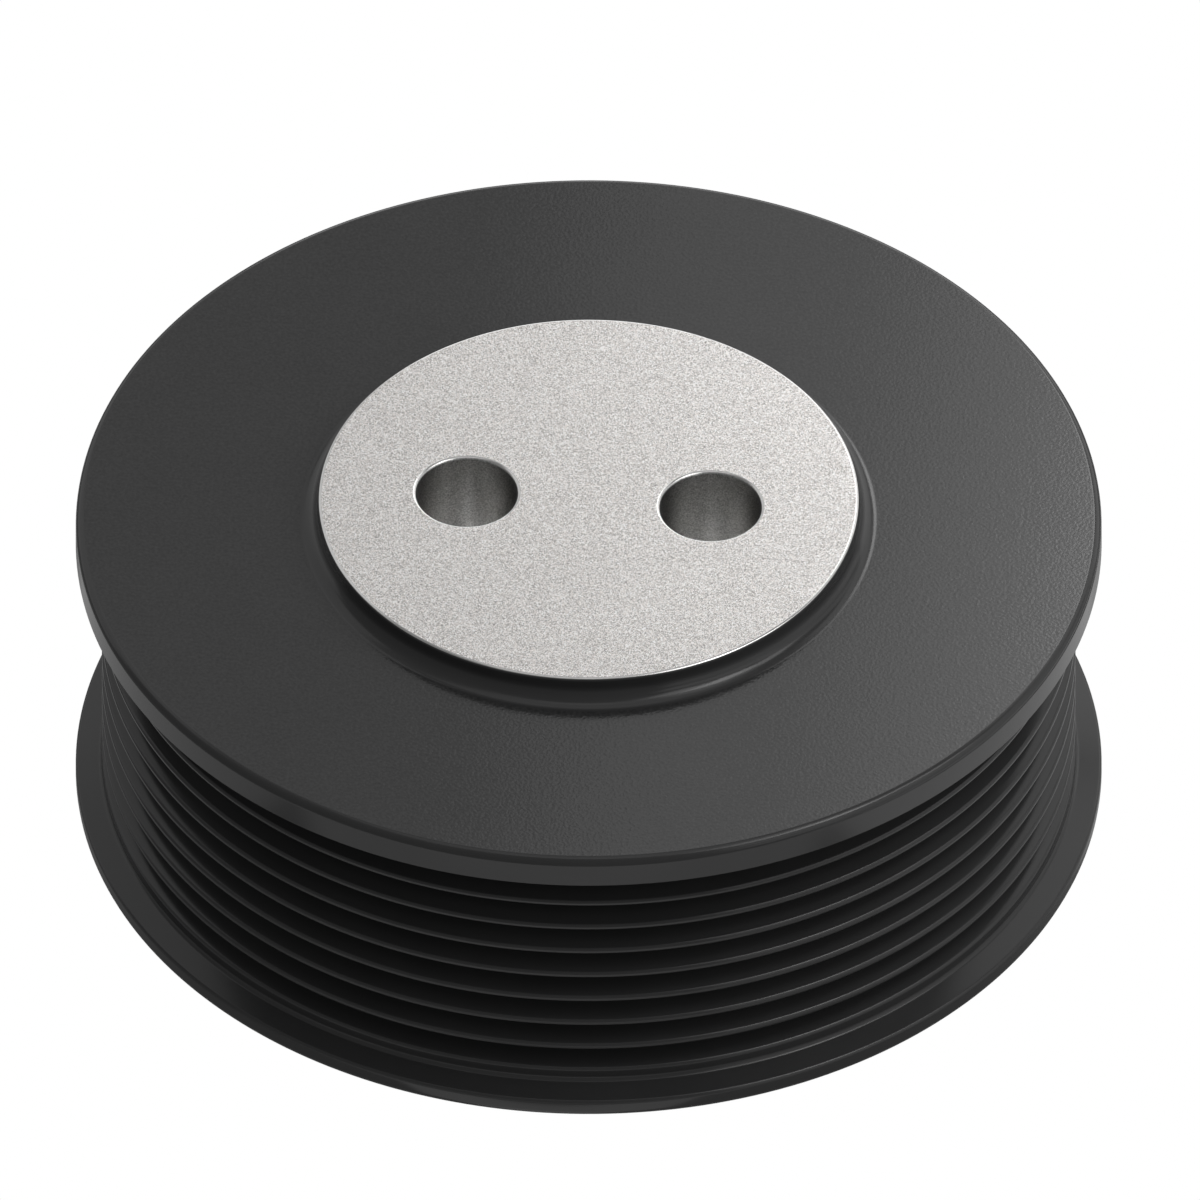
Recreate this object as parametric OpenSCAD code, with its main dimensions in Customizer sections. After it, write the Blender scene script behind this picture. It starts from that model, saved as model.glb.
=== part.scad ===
// One-piece crankshaft pulley for a ribbed belt: two flanges with V grooves between them, a raised
// boss with two bolt holes on the front, and a hub with a pilot recess inside the open back.
// It stands on its back face. The origin is on the axis in that plane, and +Z points to the front.

/* [Flanges] */
// Diameter of both flanges
flange_d = 114; // [111:0.5:130]
// Thickness of the front flange at its edge
front_flange_t = 3.75; // [2:0.05:8]
// Thickness of the back flange at its edge
back_flange_t = 2.2; // [1.5:0.05:8]
// Slope of the flange faces that guide the belt, in degrees
flange_slope = 17; // [0:1:25]
// Radius of the flanges' outer edges, on the front face and the back face
flange_edge_r = 0.9; // [0.2:0.05:1]
// Radius of the front flange's edge on the belt side
front_inner_edge_r = 0.2; // [0.1:0.05:0.5]
// Radius of the back flange's edge on the belt side
back_inner_edge_r = 0.45; // [0.1:0.05:0.5]
// Radius in the corners where the belt face meets the flanges
belt_corner_r = 0.6; // [0.1:0.05:0.8]

/* [Grooves] */
// Number of V grooves
groove_count = 8; // [3:1:10]
// Distance between neighbouring grooves
groove_pitch = 3.56; // [3.2:0.02:4.7]
// Diameter over the rib tips
rib_tip_d = 108.2; // [104:0.2:109]
// Angle between the two sides of a groove, in degrees
groove_angle = 40; // [36:1:44]
// Width of a rib tip between its sharp corners
rib_tip_w = 0.64; // [0.5:0.02:1]
// Radius of the rib tips' corners
rib_tip_r = 0.44; // [0.05:0.01:0.45]
// Radius at the bottom of a groove
groove_root_r = 0.5; // [0.2:0.05:0.5]
// From the front flange's edge to the middle of the first groove
front_groove_gap = 3.52; // [3.3:0.01:8]
// From the back flange's edge to the middle of the last groove
back_groove_gap = 3.83; // [3.3:0.01:8]

/* [Boss] */
// Diameter of the raised boss
boss_d = 60.2; // [52:0.2:76]
// Height of the boss over the front face
boss_h = 3; // [1:0.1:8]
// Radius of the boss's upper edge
boss_edge_r = 0.4; // [0.1:0.05:0.6]
// Radius of the hollow corner where the boss meets the front face
boss_foot_r = 2; // [0.2:0.1:3]

/* [Bolt holes] */
// Distance between the two holes, from middle to middle
hole_spacing = 27.2; // [20:0.2:29]
// Diameter of the holes
hole_d = 11.2; // [8:0.1:12]
// Radius of the holes' edges
hole_edge_r = 0.4; // [0.1:0.05:0.6]

/* [Back] */
// Thickness of the web behind the front face
web_t = 9; // [5:0.5:16]
// Inner diameter of the rim at its open end
rim_inner_d = 86; // [82:0.5:88]
// Diameter of the hub at its back end
hub_d = 64; // [56:0.5:66]
// Slope of the recess's walls, in degrees
recess_draft = 2; // [0.5:0.5:3]
// Radius in the corners at the bottom of the recess
recess_corner_r = 3; // [0.5:0.5:4]
// Radius of the recess's two edges on the back face
recess_edge_r = 0.8; // [0.2:0.1:1.5]
// Diameter of the pilot recess in the hub
pilot_d = 46; // [43:0.5:50]
// Depth of the pilot recess
pilot_depth = 4; // [2:0.5:8]
// Radius of the pilot recess's edge and of its inner corner
pilot_edge_r = 0.5; // [0.1:0.1:0.6]

/* [Hidden] */

// Largest turn of an outline between two points of a round stretch, in degrees
arc_step = 15;
// Sides of the drawn circles
body_sides = 180;
hole_sides = 72;
// How far a cutter runs past the face that it opens
past = 1;
// Share of the recess floor's width that each of its two corners may take up
corner_share = 0.45;
// Share of a rib tip's half width that each of its two corners may take up
tip_share = 0.98;

flange_r = flange_d / 2;
tip_r = rib_tip_d / 2;
boss_r = boss_d / 2;
hole_r = hole_d / 2;
pilot_r = pilot_d / 2;

// Heights of the belt-side edges, the front face and the boss face over the back face
groove_span = (groove_count - 1) * groove_pitch;
front_edge_z = back_flange_t + back_groove_gap + groove_span + front_groove_gap;
front_z = front_edge_z + front_flange_t;
boss_z = front_z + boss_h;
web_z = front_z - web_t;

// How far a flange's sloping face runs along the axis between its edge and the rib tips
slope_run = (flange_r - tip_r) * tan(flange_slope);
// Half the mouth of a groove, and the depth at which its two sides would meet
groove_half_w = (groove_pitch - rib_tip_w) / 2;
groove_sharp_depth = groove_half_w / tan(groove_angle / 2);
// A rib tip's two corners stay apart, each turning a groove's side into the flat between them
tip_corner_half_angle = 45 + groove_angle / 4;
tip_edge_r = min(rib_tip_r, tip_share * rib_tip_w / 2 * tan(tip_corner_half_angle));

// The foot's radius stays inside the boss's wall, and the recess's corners inside its floor
foot_r = min(boss_foot_r, boss_h - boss_edge_r);
draft_run = web_z * tan(recess_draft);
rim_floor_r = rim_inner_d / 2 - draft_run;
hub_floor_r = hub_d / 2 + draft_run;
floor_corner_r = min(recess_corner_r, corner_share * (rim_floor_r - hub_floor_r));

// Corners of the section as [distance from the axis, height, corner radius], from the boss outwards
front_corners = [
    [0, boss_z, 0],
    [boss_r, boss_z, boss_edge_r],
    [boss_r, front_z, foot_r],
    [flange_r, front_z, flange_edge_r],
    [flange_r, front_edge_z, front_inner_edge_r],
    [tip_r, front_edge_z - slope_run, belt_corner_r]
];

function groove_corners(middle_z) = [
    [tip_r, middle_z + groove_half_w, tip_edge_r],
    [tip_r - groove_sharp_depth, middle_z, groove_root_r],
    [tip_r, middle_z - groove_half_w, tip_edge_r]
];

first_groove_z = front_edge_z - front_groove_gap;
belt_corners = [
    for (i = [0 : groove_count - 1]) each groove_corners(first_groove_z - i * groove_pitch)
];

back_corners = [
    [tip_r, back_flange_t + slope_run, belt_corner_r],
    [flange_r, back_flange_t, back_inner_edge_r],
    [flange_r, 0, flange_edge_r],
    [rim_inner_d / 2, 0, recess_edge_r],
    [rim_floor_r, web_z, floor_corner_r],
    [hub_floor_r, web_z, floor_corner_r],
    [hub_d / 2, 0, recess_edge_r],
    [pilot_r, 0, pilot_edge_r],
    [pilot_r, pilot_depth, pilot_edge_r],
    [0, pilot_depth, 0]
];

function unit(v) = v / norm(v);
function place(corner) = [corner[0], corner[1]];

// Points of an arc from one angle to another, both ends included
function arc(centre, radius, from, to) =
    let (steps = max(2, ceil(abs(to - from) / arc_step)))
    [for (i = [0 : steps])
        let (angle = from + (to - from) * i / steps)
        centre + radius * [cos(angle), sin(angle)]];

// A corner between its two neighbours, rounded so that the arc runs into both sides
function rounded_corner(before, corner, after) =
    let (
        p = place(corner),
        radius = corner[2],
        u = unit(place(before) - p),
        v = unit(place(after) - p),
        half_angle = acos(u * v) / 2,
        centre = p + unit(u + v) * radius / sin(half_angle),
        start = p + u * radius / tan(half_angle) - centre,
        end = p + v * radius / tan(half_angle) - centre,
        from = atan2(start[1], start[0]),
        turn = (atan2(end[1], end[0]) - from + 540) % 360 - 180
    )
    arc(centre, radius, from, from + turn);

// The closed outline of a list of corners
function outline(corners) = [
    for (i = [0 : len(corners) - 1])
        let (
            last = len(corners) - 1,
            before = corners[i == 0 ? last : i - 1],
            after = corners[i == last ? 0 : i + 1]
        )
        each corners[i][2] == 0 ? [place(corners[i])] : rounded_corner(before, corners[i], after)
];

// A hole from the pilot recess to the boss face, with both of its edges rounded
hole_outline = concat(
    [[0, pilot_depth - past], [hole_r + hole_edge_r, pilot_depth - past]],
    arc([hole_r + hole_edge_r, pilot_depth + hole_edge_r], hole_edge_r, 270, 180),
    arc([hole_r + hole_edge_r, boss_z - hole_edge_r], hole_edge_r, 180, 90),
    [[hole_r + hole_edge_r, boss_z + past], [0, boss_z + past]]
);

module turned_body() {
    rotate_extrude($fn = body_sides)
        polygon(outline(concat(front_corners, belt_corners, back_corners)));
}

module bolt_hole() {
    rotate_extrude($fn = hole_sides)
        polygon(hole_outline);
}

module pulley() {
    color("#2c2c2e")
    difference() {
        turned_body();
        for (side = [-1, 1])
            translate([side * hole_spacing / 2, 0, 0])
                bolt_hole();
    }
}

pulley();
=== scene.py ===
import math

import bpy
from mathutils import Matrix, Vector


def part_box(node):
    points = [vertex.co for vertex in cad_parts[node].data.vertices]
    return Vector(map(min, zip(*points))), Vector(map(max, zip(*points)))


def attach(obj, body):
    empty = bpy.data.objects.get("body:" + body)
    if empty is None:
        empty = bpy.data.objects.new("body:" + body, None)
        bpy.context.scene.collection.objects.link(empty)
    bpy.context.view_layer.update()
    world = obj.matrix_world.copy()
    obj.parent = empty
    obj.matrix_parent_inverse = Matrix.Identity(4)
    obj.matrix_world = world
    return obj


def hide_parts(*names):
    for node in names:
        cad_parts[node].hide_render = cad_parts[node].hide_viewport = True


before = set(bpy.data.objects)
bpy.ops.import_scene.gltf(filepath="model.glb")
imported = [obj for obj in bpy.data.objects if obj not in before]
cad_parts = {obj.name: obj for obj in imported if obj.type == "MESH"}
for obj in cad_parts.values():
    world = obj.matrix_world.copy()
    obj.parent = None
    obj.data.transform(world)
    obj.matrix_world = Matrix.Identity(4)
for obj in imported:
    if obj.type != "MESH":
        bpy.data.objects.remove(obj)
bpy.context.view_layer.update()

# Lengths are written in millimetres, and meshes, lights and trees take them in metres
MM = 0.001

# The view: turned a little to the right and raised over the front face, with the picture's width
VIEW_TURN = math.radians(5.05)
VIEW_RISE = math.radians(41.82)
VIEW_W = 133.33
VIEW_TARGET_Z = 26.14
VIEW_TARGET_SIDE = 1.256
VIEW_DISTANCE = 600.0

# The pulley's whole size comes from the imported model
PULLEY_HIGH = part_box("pulley")[1]
FLANGE_R = PULLEY_HIGH.x / MM
BOSS_Z = PULLEY_HIGH.z / MM

# Flanges
FRONT_FLANGE_T = 3.75
BACK_FLANGE_T = 2.2
FLANGE_SLOPE = math.radians(17)
FLANGE_EDGE_R = 0.9
FRONT_INNER_EDGE_R = 0.2
BACK_INNER_EDGE_R = 0.45
BELT_CORNER_R = 0.6

# Grooves
GROOVE_COUNT = 8
GROOVE_PITCH = 3.56
GROOVE_ANGLE = math.radians(40)
GROOVE_ROOT_R = 0.5
RIB_TIP_R = 54.1
RIB_TIP_W = 0.64
RIB_TIP_EDGE_R = 0.44
BACK_GROOVE_GAP = 3.83

# Boss and bolt holes
BOSS_R = 30.1
BOSS_H = 3.0
BOSS_EDGE_R = 0.4
BOSS_FOOT_R = 2.0
HOLE_SPACING = 27.2
HOLE_R = 5.6
HOLE_EDGE_R = 0.4

# Back
WEB_T = 9.0
RIM_INNER_R = 43.0
HUB_R = 32.0
RECESS_DRAFT = math.radians(2)
RECESS_CORNER_R = 3.0
RECESS_EDGE_R = 0.8
PILOT_R = 23.0
PILOT_DEPTH = 4.0
PILOT_EDGE_R = 0.5

# Heights and depths that follow
FRONT_Z = BOSS_Z - BOSS_H
FRONT_EDGE_Z = FRONT_Z - FRONT_FLANGE_T
WEB_Z = FRONT_Z - WEB_T
SLOPE_RUN = (FLANGE_R - RIB_TIP_R) * math.tan(FLANGE_SLOPE)
GROOVE_HALF_W = (GROOVE_PITCH - RIB_TIP_W) / 2
GROOVE_SHARP_DEPTH = GROOVE_HALF_W / math.tan(GROOVE_ANGLE / 2)
LAST_GROOVE_Z = BACK_FLANGE_T + BACK_GROOVE_GAP
DRAFT_RUN = WEB_Z * math.tan(RECESS_DRAFT)

# The boss is bare down to here, part of the way round its upper edge
BARE_EDGE_Z = BOSS_Z - 0.10

# The bolt holes' mouths are as glossy as the boss's edge down to here
MOUTH_EDGE_Z = BOSS_Z - 0.12

# Fineness: the turn of one step round a corner of the section, and the steps of a full turn
ARC_STEP = math.radians(15)
BODY_STEPS = 240
HOLE_STEPS = 96
# Radius of the circle along which a section is carried
PATH_R = 10.0
# The gap that is closed between two bands, and how far a flat face may be off its height
MERGE_GAP = 0.001


class Value:
    """A node's output, on which Python's arithmetic adds Math nodes to the same tree."""

    def __init__(self, graph, socket):
        self.graph = graph
        self.socket = socket

    def __add__(self, other):
        return self.graph.maths("ADD", self, other)

    def __sub__(self, other):
        return self.graph.maths("SUBTRACT", self, other)

    def __mul__(self, other):
        return self.graph.maths("MULTIPLY", self, other)

    def __lt__(self, other):
        return self.graph.maths("LESS_THAN", self, other)

    def __gt__(self, other):
        return self.graph.maths("GREATER_THAN", self, other)

    __radd__ = __add__
    __rmul__ = __mul__


class Graph:
    """A shader or geometry tree, whose nodes are all added by one method."""

    def __init__(self, tree):
        self.tree = tree
        tree.nodes.clear()

    def node(self, kind, settings, sockets, output=0):
        """Adds a node with its settings, then joins or sets its sockets by name or number."""
        added = self.tree.nodes.new(kind)
        for name, setting in settings.items():
            setattr(added, name, setting)
        for name, given in sockets.items():
            for value in given if isinstance(given, list) else [given]:
                if isinstance(value, Value):
                    self.tree.links.new(value.socket, added.inputs[name])
                else:
                    added.inputs[name].default_value = value
        return Value(self, added.outputs[output]) if added.outputs else added

    def maths(self, operation, *values):
        return self.node("ShaderNodeMath", {"operation": operation}, dict(enumerate(values)))

    def vector(self, operation, *values):
        """Vector Math on vectors, or on a vector and the number that scales it."""
        sockets = dict(enumerate(values))
        if operation == "SCALE":
            sockets = {0: values[0], "Scale": values[1]}
        return self.node("ShaderNodeVectorMath", {"operation": operation}, sockets)

    def parts(self, vector):
        """The three numbers of a vector."""
        split = self.node("ShaderNodeSeparateXYZ", {}, {0: vector})
        return [Value(self, socket) for socket in split.socket.node.outputs]


def corner_points(before, corner, after):
    """Points along a rounded corner, each with the direction in which the surface faces."""
    place = Vector(corner[:2])
    radius = corner[2]
    back = (Vector(before[:2]) - place).normalized()
    ahead = (Vector(after[:2]) - place).normalized()
    half_angle = back.angle(ahead) / 2
    centre = place + (back + ahead).normalized() * radius / math.sin(half_angle)
    reach = radius / math.tan(half_angle)
    start = (place + back * reach - centre).normalized()
    end = (place + ahead * reach - centre).normalized()
    # The surface faces away from the centre of an outer corner, and towards that of a hollow one
    side = 1 if back.cross(ahead) > 0 else -1
    steps = max(2, math.ceil((math.pi - 2 * half_angle) / ARC_STEP))
    spokes = [start.slerp(end, i / steps) for i in range(steps + 1)]
    return [(centre + radius * spoke, side * spoke) for spoke in spokes]


def section_points(corners):
    """All rounded corners in turn. The first and last places only give their neighbours a direction."""
    return [
        point
        for before, corner, after in zip(corners, corners[1:], corners[2:])
        for point in corner_points(before, corner, after)
    ]


def groove_corners(middle_z):
    return [
        (RIB_TIP_R, middle_z + GROOVE_HALF_W, RIB_TIP_EDGE_R),
        (RIB_TIP_R - GROOVE_SHARP_DEPTH, middle_z, GROOVE_ROOT_R),
        (RIB_TIP_R, middle_z - GROOVE_HALF_W, RIB_TIP_EDGE_R),
    ]


def body_corners():
    """Corners of the turned section, as distance from the axis, height and corner radius."""
    front = [
        (0, BOSS_Z),
        (BOSS_R, BOSS_Z, BOSS_EDGE_R),
        (BOSS_R, FRONT_Z, BOSS_FOOT_R),
        (FLANGE_R, FRONT_Z, FLANGE_EDGE_R),
        (FLANGE_R, FRONT_EDGE_Z, FRONT_INNER_EDGE_R),
        (RIB_TIP_R, FRONT_EDGE_Z - SLOPE_RUN, BELT_CORNER_R),
    ]
    belt = []
    for i in reversed(range(GROOVE_COUNT)):
        belt += groove_corners(LAST_GROOVE_Z + i * GROOVE_PITCH)
    back = [
        (RIB_TIP_R, BACK_FLANGE_T + SLOPE_RUN, BELT_CORNER_R),
        (FLANGE_R, BACK_FLANGE_T, BACK_INNER_EDGE_R),
        (FLANGE_R, 0, FLANGE_EDGE_R),
        (RIM_INNER_R, 0, RECESS_EDGE_R),
        (RIM_INNER_R - DRAFT_RUN, WEB_Z, RECESS_CORNER_R),
        (HUB_R + DRAFT_RUN, WEB_Z, RECESS_CORNER_R),
        (HUB_R, 0, RECESS_EDGE_R),
        (PILOT_R, 0, PILOT_EDGE_R),
        (PILOT_R, PILOT_DEPTH, PILOT_EDGE_R),
        (0, PILOT_DEPTH),
    ]
    return front + belt + back


def hole_corners():
    """Corners of a bolt hole's section about its own axis, from the pilot recess to the boss face."""
    return [
        (BOSS_R, PILOT_DEPTH),
        (HOLE_R, PILOT_DEPTH, HOLE_EDGE_R),
        (HOLE_R, BOSS_Z, HOLE_EDGE_R),
        (BOSS_R, BOSS_Z),
    ]


def section_wire(name, corners):
    """A section as a line of edges, laid out for Curve to Mesh, which turns Y downwards."""
    points = section_points(corners)
    mesh = bpy.data.meshes.new(name)
    places = [((place.x - PATH_R) * MM, -place.y * MM, 0) for place, facing in points]
    mesh.from_pydata(places, [(i, i + 1) for i in range(len(points) - 1)], [])
    faces = mesh.attributes.new("facing", "FLOAT_VECTOR", "POINT")
    for item, (place, facing) in zip(faces.data, points):
        item.vector = (facing.x, facing.y, 0)
    wire = bpy.data.objects.new(name, mesh)
    bpy.context.scene.collection.objects.link(wire)
    return wire


def facing_of(graph):
    settings = {"data_type": "FLOAT_VECTOR"}
    return graph.node("GeometryNodeInputNamedAttribute", settings, {"Name": "facing"})


def store_facing(graph, geometry, facing):
    settings = {"data_type": "FLOAT_VECTOR", "domain": "POINT"}
    sockets = {"Geometry": geometry, "Name": "facing", "Value": facing}
    return graph.node("GeometryNodeStoreNamedAttribute", settings, sockets)


def turned(graph, wire, steps):
    """A section turned about the Z axis. Each point keeps the exact direction it faces in."""
    profile = graph.node("GeometryNodeMeshToCurve", {}, {"Mesh": wire})
    path = graph.node("GeometryNodeCurvePrimitiveCircle", {}, {"Resolution": steps, "Radius": PATH_R * MM})
    band = graph.node("GeometryNodeCurveToMesh", {}, {"Curve": path, "Profile Curve": profile})
    out, up, _ = graph.parts(facing_of(graph))
    place = graph.node("GeometryNodeInputPosition", {}, {})
    outwards = graph.vector("NORMALIZE", graph.vector("MULTIPLY", place, (1, 1, 0)))
    upwards = graph.node("ShaderNodeCombineXYZ", {}, {"Z": up})
    facing = graph.vector("ADD", graph.vector("SCALE", outwards, out), upwards)
    return store_facing(graph, band, facing)


def ring_line(graph, radius, steps):
    return graph.node("GeometryNodeCurvePrimitiveCircle", {}, {"Resolution": steps, "Radius": radius})


def moved(graph, geometry, offset):
    return graph.node("GeometryNodeTransform", {}, {"Geometry": geometry, "Translation": offset})


def joined(graph, *pieces):
    return graph.node("GeometryNodeJoinGeometry", {}, {"Geometry": list(reversed(pieces))})


def flat_face(graph, height, outer_r, hole_r, hole_points, body_steps, hole_steps, faces_up):
    """A flat disc with the bolt holes left out of it, whose edges match the turned bands'."""
    outer = ring_line(graph, outer_r, body_steps)
    holes = at_points(graph, ring_line(graph, hole_r, hole_steps), hole_points)
    disc = graph.node("GeometryNodeFillCurve", {}, {"Curve": joined(graph, outer, holes)})
    if not faces_up:
        disc = graph.node("GeometryNodeFlipFaces", {}, {"Mesh": disc})
    disc = moved(graph, disc, graph.node("ShaderNodeCombineXYZ", {}, {"Z": height}))
    return store_facing(graph, disc, (0, 0, 1 if faces_up else -1))


def at_points(graph, geometry, points):
    copies = graph.node("GeometryNodeInstanceOnPoints", {}, {"Points": points, "Instance": geometry})
    return graph.node("GeometryNodeRealizeInstances", {}, {"Geometry": copies})


def level(graph, height, wanted):
    """Whether a face lies at the wanted height."""
    return graph.maths("ABSOLUTE", height - wanted) < MERGE_GAP * MM


def painted(graph, geometry, finish, where=True):
    sockets = {"Geometry": geometry, "Selection": where, "Material": finish}
    return graph.node("GeometryNodeSetMaterial", {}, sockets)


TREE_INPUTS = {
    "Section": "NodeSocketGeometry",
    "Hole section": "NodeSocketObject",
    "Body steps": "NodeSocketInt",
    "Hole steps": "NodeSocketInt",
    "Hole spacing": "NodeSocketFloat",
    "Hole mouth radius": "NodeSocketFloat",
    "Mouth edge height": "NodeSocketFloat",
    "Boss face height": "NodeSocketFloat",
    "Boss face radius": "NodeSocketFloat",
    "Bare edge height": "NodeSocketFloat",
    "Front face height": "NodeSocketFloat",
    "Front face radius": "NodeSocketFloat",
    "Boss foot radius": "NodeSocketFloat",
    "Pilot floor height": "NodeSocketFloat",
    "Pilot floor radius": "NodeSocketFloat",
    "Pilot mouth radius": "NodeSocketFloat",
    "Smooth coat": "NodeSocketMaterial",
    "Grained coat": "NodeSocketMaterial",
    "Blasted metal": "NodeSocketMaterial",
    "Machined metal": "NodeSocketMaterial",
    "Drilled metal": "NodeSocketMaterial",
    "Turned metal": "NodeSocketMaterial",
}


def pulley_tree():
    """The whole pulley: the turned sections of body and holes, the boss face and the pilot recess's floor.

    Each finish is set by where a face lies, and a later one covers those before it.
    """
    tree = bpy.data.node_groups.new("pulley turning", "GeometryNodeTree")
    for name, kind in TREE_INPUTS.items():
        tree.interface.new_socket(name=name, in_out="INPUT", socket_type=kind)
    tree.interface.new_socket(name="Pulley", in_out="OUTPUT", socket_type="NodeSocketGeometry")
    graph = Graph(tree)
    start = graph.node("NodeGroupInput", {}, {}).socket.node
    given = {name: Value(graph, start.outputs[name]) for name in TREE_INPUTS}

    spacing = given["Hole spacing"]
    first = graph.node("ShaderNodeCombineXYZ", {}, {"X": spacing * -0.5})
    step = graph.node("ShaderNodeCombineXYZ", {}, {"X": spacing})
    line = {"Count": 2, "Start Location": first, "Offset": step}
    hole_points = graph.node("GeometryNodeMeshLine", {}, line)

    hole_wire = graph.node("GeometryNodeObjectInfo", {}, {"Object": given["Hole section"]}, "Geometry")
    body = turned(graph, given["Section"], given["Body steps"])
    holes = at_points(graph, turned(graph, hole_wire, given["Hole steps"]), hole_points)
    mouths = (given["Hole mouth radius"], hole_points, given["Body steps"], given["Hole steps"])
    boss_face = flat_face(graph, given["Boss face height"], given["Boss face radius"], *mouths, True)
    pilot_floor = flat_face(graph, given["Pilot floor height"], given["Pilot floor radius"], *mouths, False)

    whole = joined(graph, body, holes, boss_face, pilot_floor)
    whole = graph.node("GeometryNodeMergeByDistance", {}, {"Geometry": whole, "Distance": MERGE_GAP * MM})
    whole = graph.node("GeometryNodeSetShadeSmooth", {}, {"Geometry": whole})
    exact = {"mode": "FREE", "domain": "POINT"}
    sockets = {"Mesh": whole, "Custom Normal": facing_of(graph)}
    whole = graph.node("GeometryNodeSetMeshNormal", exact, sockets)
    whole = graph.node("GeometryNodeRemoveAttribute", {}, {"Geometry": whole, "Name": "facing"})
    whole = graph.node("GeometryNodeRealizeInstances", {}, {"Geometry": whole})

    x, y, z = graph.parts(graph.node("GeometryNodeInputPosition", {}, {}))
    from_axis = graph.maths("SQRT", x * x + y * y)
    from_middle = graph.maths("ABSOLUTE", x) - spacing * 0.5
    from_hole = graph.maths("SQRT", from_middle * from_middle + y * y)
    on_front = level(graph, z, given["Front face height"])
    on_front *= (from_axis > given["Boss foot radius"]) * (from_axis < given["Front face radius"])
    in_pilot = (from_axis < given["Pilot mouth radius"]) * (z < given["Front face height"] * 0.5)
    on_boss = level(graph, z, given["Boss face height"])
    in_hole = from_hole < given["Hole mouth radius"]
    whole = painted(graph, whole, given["Smooth coat"])
    whole = painted(graph, whole, given["Grained coat"], on_front)
    whole = painted(graph, whole, given["Turned metal"], in_pilot)
    whole = painted(graph, whole, given["Machined metal"], z > given["Bare edge height"])
    whole = painted(graph, whole, given["Blasted metal"], on_boss)
    whole = painted(graph, whole, given["Drilled metal"], in_hole)
    whole = painted(graph, whole, given["Machined metal"], in_hole * (z > given["Mouth edge height"]))
    graph.node("NodeGroupOutput", {}, {"Pulley": whole})
    return tree


def material(name):
    """A new material with its graph, and Object coordinates in millimetres."""
    made = bpy.data.materials.new(name)
    made.use_nodes = True
    graph = Graph(made.node_tree)
    place = graph.node("ShaderNodeTexCoord", {}, {}, "Object")
    return made, graph, graph.vector("SCALE", place, 1 / MM)


def noise(graph, place, size, detail=2.0):
    """Soft noise from 0 to 1, with features of about the given size in millimetres."""
    sockets = {"Vector": place, "Scale": 1 / size, "Detail": detail}
    return graph.node("ShaderNodeTexNoise", {}, sockets)


def speckle(graph, place, size):
    """Hard grains of about the given size in millimetres, each with its own number from 0 to 1."""
    cells = graph.node("ShaderNodeTexVoronoi", {}, {"Vector": place, "Scale": 1 / size}, "Color")
    return graph.parts(cells)[0]


def bumped(graph, height, depth, strength):
    """A normal from a height of 0 to 1 that is the given depth in millimetres."""
    sockets = {"Height": height, "Distance": depth * MM, "Strength": strength}
    return graph.node("ShaderNodeBump", {}, sockets)


def shaded(colour, amount):
    """A colour times an amount that varies."""
    return amount.graph.vector("SCALE", colour, amount)


def surface(graph, sockets):
    shader = graph.node("ShaderNodeBsdfPrincipled", {}, sockets)
    graph.node("ShaderNodeOutputMaterial", {}, {"Surface": shader})


# The finishes' own colours and the coat's roughness
COAT_COLOUR = (0.042, 0.042, 0.0423)
COAT_ROUGHNESS = 0.18
BARE_COLOUR = (0.646, 0.617, 0.597)
MACHINED_COLOUR = (0.70, 0.695, 0.685)


def smooth_coat():
    """Black coating on the turned surfaces: even and semi-gloss, with a hint of cloudiness."""
    made, graph, place = material("smooth black coat")
    cloud = noise(graph, place, 6.0)
    ripple = noise(graph, place, 0.5)
    surface(graph, {
        "Base Color": shaded(COAT_COLOUR, 0.92 + 0.16 * cloud),
        "Roughness": COAT_ROUGHNESS - 0.02 + 0.04 * cloud,
        "Normal": bumped(graph, ripple, 0.004, 0.25),
    })
    return made


def grained_coat():
    """The same coating over the blasted front face, whose fine grain shows through it."""
    made, graph, place = material("grained black coat")
    cloud = noise(graph, place, 9.0)
    grain = noise(graph, place, 0.35, 1.0)
    surface(graph, {
        "Base Color": shaded(COAT_COLOUR, 0.4 + 0.16 * cloud + 0.9 * grain),
        "Roughness": COAT_ROUGHNESS - 0.06 + 0.04 * grain,
        "Normal": bumped(graph, grain, 0.017, 0.8),
    })
    return made


def blasted_metal():
    """Bare metal of the boss face: matt, with a fine sparkle from each blasted grain."""
    made, graph, place = material("blasted bare metal")
    grain = speckle(graph, place, 0.09)
    cloud = noise(graph, place, 4.0)
    surface(graph, {
        "Base Color": shaded(BARE_COLOUR, 0.42 + 1.56 * grain + 0.04 * cloud),
        "Metallic": 1.0,
        "Roughness": 0.38 + 0.1 * cloud,
        "Normal": bumped(graph, noise(graph, place, 0.1, 1.0), 0.02, 0.3),
    })
    return made


def machined_metal():
    """The boss's edge and the mouths of the bolt holes: glossy metal with faint marks running round."""
    made, graph, place = material("machined metal")
    _, _, z = graph.parts(place)
    marks = graph.node("ShaderNodeCombineXYZ", {}, {"Z": z})
    ring = noise(graph, marks, 0.15, 1.0)
    cloud = noise(graph, place, 2.5)
    surface(graph, {
        "Base Color": shaded(MACHINED_COLOUR, 1.1 + 0.1 * cloud + 0.06 * ring),
        "Metallic": 1.0,
        "Roughness": 0.14 + 0.06 * cloud,
        "Normal": bumped(graph, ring, 0.004, 0.4),
    })
    return made


def drilled_metal():
    """Walls of the bolt holes: darker metal with a fine grain."""
    made, graph, place = material("drilled metal")
    grain = speckle(graph, place, 0.09)
    cloud = noise(graph, place, 2.5)
    surface(graph, {
        "Base Color": shaded(MACHINED_COLOUR, 0.36 + 0.1 * cloud + 0.8 * grain),
        "Metallic": 1.0,
        "Roughness": 0.31 + 0.06 * cloud,
    })
    return made


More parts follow.
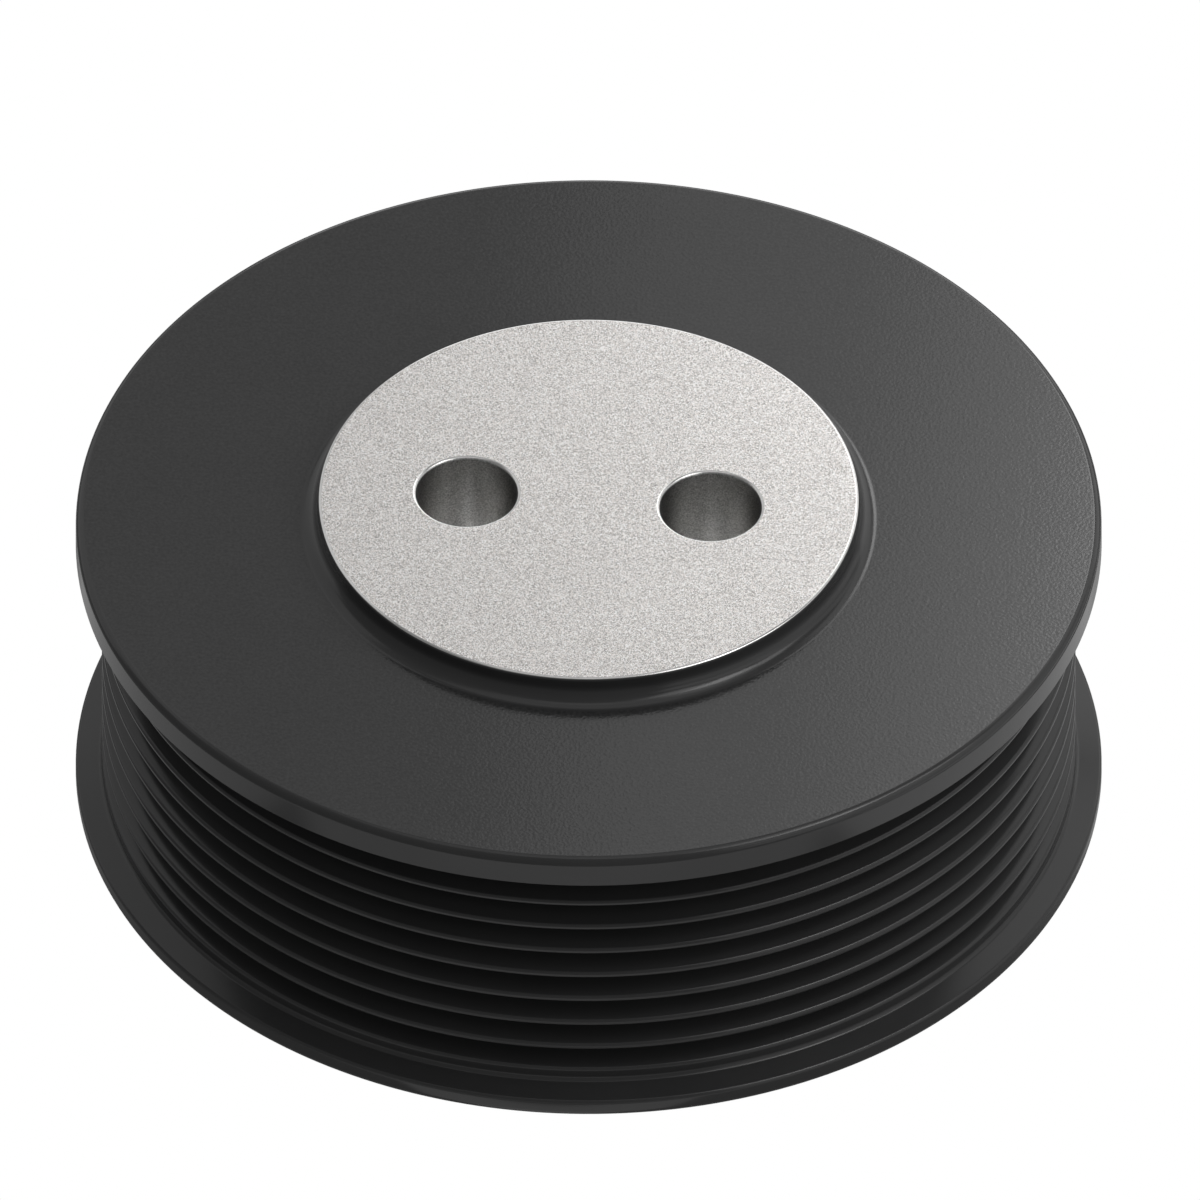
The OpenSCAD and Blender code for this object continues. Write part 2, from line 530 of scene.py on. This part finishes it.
def turned_metal():
    """Pilot recess: turned metal with fine rings about the axis."""
    made, graph, place = material("turned metal")
    x, y, z = graph.parts(place)
    from_axis = graph.maths("SQRT", x * x + y * y)
    marks = graph.node("ShaderNodeCombineXYZ", {}, {"X": from_axis, "Z": z})
    ring = noise(graph, marks, 0.18, 1.0)
    cloud = noise(graph, place, 5.0)
    surface(graph, {
        "Base Color": shaded(BARE_COLOUR, 0.7 + 0.1 * cloud + 0.1 * ring),
        "Metallic": 1.0,
        "Roughness": 0.32 + 0.08 * cloud,
        "Normal": bumped(graph, ring, 0.006, 0.5),
    })
    return made


def make_pulley():
    """Turns the pulley by its tree, and keeps the result as a plain mesh."""
    pulley_wire = section_wire("pulley section", body_corners())
    hole_wire = section_wire("hole section", hole_corners())
    sizes = {
        "Hole section": hole_wire,
        "Body steps": BODY_STEPS,
        "Hole steps": HOLE_STEPS,
        "Hole spacing": HOLE_SPACING * MM,
        "Hole mouth radius": (HOLE_R + HOLE_EDGE_R) * MM,
        "Mouth edge height": MOUTH_EDGE_Z * MM,
        "Boss face height": BOSS_Z * MM,
        "Boss face radius": (BOSS_R - BOSS_EDGE_R) * MM,
        "Bare edge height": BARE_EDGE_Z * MM,
        "Front face height": FRONT_Z * MM,
        "Front face radius": (FLANGE_R - FLANGE_EDGE_R) * MM,
        "Boss foot radius": (BOSS_R + BOSS_FOOT_R) * MM,
        "Pilot floor height": PILOT_DEPTH * MM,
        "Pilot floor radius": (PILOT_R - PILOT_EDGE_R) * MM,
        "Pilot mouth radius": (PILOT_R + PILOT_EDGE_R) * MM,
        "Smooth coat": smooth_coat(),
        "Grained coat": grained_coat(),
        "Blasted metal": blasted_metal(),
        "Machined metal": machined_metal(),
        "Drilled metal": drilled_metal(),
        "Turned metal": turned_metal(),
    }
    turning = pulley_wire.modifiers.new("turning", "NODES")
    turning.node_group = pulley_tree()
    sockets = turning.node_group.interface.items_tree
    for name, size in sizes.items():
        turning[sockets[name].identifier] = size
    graph = bpy.context.evaluated_depsgraph_get()
    mesh = bpy.data.meshes.new_from_object(pulley_wire.evaluated_get(graph), depsgraph=graph)
    mesh.name = "crankshaft_pulley"
    for wire in (pulley_wire, hole_wire):
        bpy.data.objects.remove(wire)
    pulley = bpy.data.objects.new("crankshaft_pulley", mesh)
    bpy.context.scene.collection.objects.link(pulley)
    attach(pulley, "root")
    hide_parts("pulley")


def direction(turn, rise):
    """The direction from the pulley to something seen at that turn from -Y, and that rise."""
    return Vector((math.sin(turn) * math.cos(rise), -math.cos(turn) * math.cos(rise), math.sin(rise)))


def make_camera():
    back = direction(VIEW_TURN, VIEW_RISE)
    side = Vector((math.cos(VIEW_TURN), math.sin(VIEW_TURN), 0))
    target = side * VIEW_TARGET_SIDE + Vector((0, 0, VIEW_TARGET_Z))
    data = bpy.data.cameras.new("camera")
    data.type = "ORTHO"
    data.ortho_scale = VIEW_W * MM
    camera = bpy.data.objects.new("camera", data)
    camera.location = (target + back * VIEW_DISTANCE) * MM
    camera.rotation_euler = (-back).to_track_quat("-Z", "Y").to_euler()
    bpy.context.scene.collection.objects.link(camera)
    bpy.context.scene.camera = camera


# Soft boxes round the pulley, all turned to it from one distance: turn from -Y towards +X and
# rise, width and height, all as angles in degrees seen from the pulley, and brightness
BOX_DISTANCE = 350.0
SOFT_BOXES = {
    "top": (0, 90, 40, 40, 0.33),
    "near top": (0, 76, 60, 10, 0.23),
    "right key": (70, 54, 22, 17, 3.50),
    "right key front": (48, 56, 22, 20, 1.45),
    "right key side": (90, 48, 18, 17, 1.80),
    "right high": (85, 66, 44, 14, 0.80),
    "right": (57, 32.5, 48, 15, 0.65),
    "right side": (105, 32.5, 48, 15, 0.46),
    "right low": (81, 12.5, 96, 25, 0.44),
    "back right": (139.5, 40, 21, 30, 0.66),
    "back right low": (146.5, 12.5, 35, 25, 0.73),
    "back key edge": (153.5, 40, 7, 30, 0.33),
    "back key": (165, 38, 13, 15, 3.10),
    "back key fringe": (165, 39.5, 14, 24, 0.70),
    "back key side": (174.5, 40, 6, 20, 1.40),
    "back": (181.5, 40, 8, 26, 0.75),
    "back low": (181.5, 12.5, 35, 25, 1.28),
    "back left": (195.5, 40, 21, 30, 0.30),
    "left": (232.5, 40, 53, 30, 0.40),
    "left low": (229, 12.5, 60, 25, 0.40),
}
# Lights that face up: patches of lit table round the pulley, and one under its open back, which
# reaches the walls of the bolt holes on a slant: middle, width and depth in millimetres, and brightness
LIT_PATCHES = {
    "table at the foot": (0, -58.6, -1, 120, 2.8, 0.45),
    "table in front": (0, -82, -1, 180, 24, 0.33),
    "table further in front": (0, -101, -1, 216, 14, 0.48),
    "table on the left": (-82, 0, -1, 24, 150, 0.29),
    "table at the right foot": (63.6, 0, -1, 12.8, 118, 0.21),
    "table on the right": (82, 0, -1, 24, 150, 0.51),
    "table further right": (220, 0, -1, 160, 280, 0.77),
    "under the bolt holes": (0, 27, -14, 54, 30, 9.0),
}
# Brightness of the even light from all round
STUDIO_BRIGHTNESS = 0.19


def make_light(name, place, facing, width, depth, brightness):
    """A rectangular light of an even brightness, which shines the way it faces."""
    data = bpy.data.lights.new(name, "AREA")
    data.shape = "RECTANGLE"
    data.size = width * MM
    data.size_y = depth * MM
    data.energy = brightness * math.pi * data.size * data.size_y
    light = bpy.data.objects.new(name, data)
    light.location = place * MM
    light.rotation_euler = (-facing).to_track_quat("Z", "Y").to_euler()
    bpy.context.scene.collection.objects.link(light)


def make_lights():
    centre = Vector((0, 0, FRONT_Z))
    for name, (turn, rise, width, height, brightness) in SOFT_BOXES.items():
        towards = direction(math.radians(turn), math.radians(rise))
        wide = 2 * BOX_DISTANCE * math.tan(math.radians(width / 2))
        high = 2 * BOX_DISTANCE * math.tan(math.radians(height / 2))
        # The same turn covers less width towards the top
        if rise < 90:
            wide *= math.cos(math.radians(rise))
        make_light(name, centre + towards * BOX_DISTANCE, -towards, wide, high, brightness)
    for name, (x, y, z, width, depth, brightness) in LIT_PATCHES.items():
        make_light(name, Vector((x, y, z)), Vector((0, 0, 1)), width, depth, brightness)
    world = bpy.data.worlds.new("studio")
    world.use_nodes = True
    graph = Graph(world.node_tree)
    grey = graph.node("ShaderNodeBackground", {}, {"Color": (1, 1, 1, 1), "Strength": STUDIO_BRIGHTNESS})
    graph.node("ShaderNodeOutputWorld", {}, {"Surface": grey})
    bpy.context.scene.world = world


# The floor and the surround are seen, but light the pulley as little as the cut-out paper of a
# catalogue picture does
FLOOR_W = 6000.0
SURROUND_R = 2900.0
SURROUND_TURN_STEPS = 48
SURROUND_RISE_STEPS = 24
# Brightness of the painted shadow on the floor inside the rim, against 1 outside it
SHADE = 0.03


def paper(name, shade_r):
    """White paper, evenly bright outside a painted shadow: dark up to a distance from the axis, where the
    pulley would shade it.
    """
    made, graph, place = material(name)
    x, y, _ = graph.parts(place)
    # Painted shadow: inside this distance from the axis the paper is dark
    lit = graph.maths("SQRT", x * x + y * y) > shade_r
    surface(graph, {
        "Base Color": (0, 0, 0, 1),
        "Specular IOR Level": 0.0,
        "Emission Color": shaded((1, 1, 1), SHADE + (1 - SHADE) * lit),
        "Emission Strength": 1.0,
    })
    return made


def make_paper():
    """A white floor with a white surround above it, both far larger than the view."""
    bpy.ops.mesh.primitive_plane_add(size=FLOOR_W * MM)
    floor = bpy.context.object
    floor.name = "floor"
    # The floor gets a painted shadow inside the pulley's rim; the surround has none
    floor.data.materials.append(paper("floor paper with painted shadow", RIM_INNER_R))
    steps = {"segments": SURROUND_TURN_STEPS, "ring_count": SURROUND_RISE_STEPS}
    bpy.ops.mesh.primitive_uv_sphere_add(radius=SURROUND_R * MM, **steps)
    surround = bpy.context.object
    surround.name = "surround"
    surround.data.materials.append(paper("surround paper", 0.0))
    for sheet in (floor, surround):
        sheet.visible_diffuse = False
        sheet.visible_glossy = False
        sheet.visible_shadow = False


make_camera()
make_pulley()
make_lights()
make_paper()
bpy.context.scene.view_settings.view_transform = "Standard"
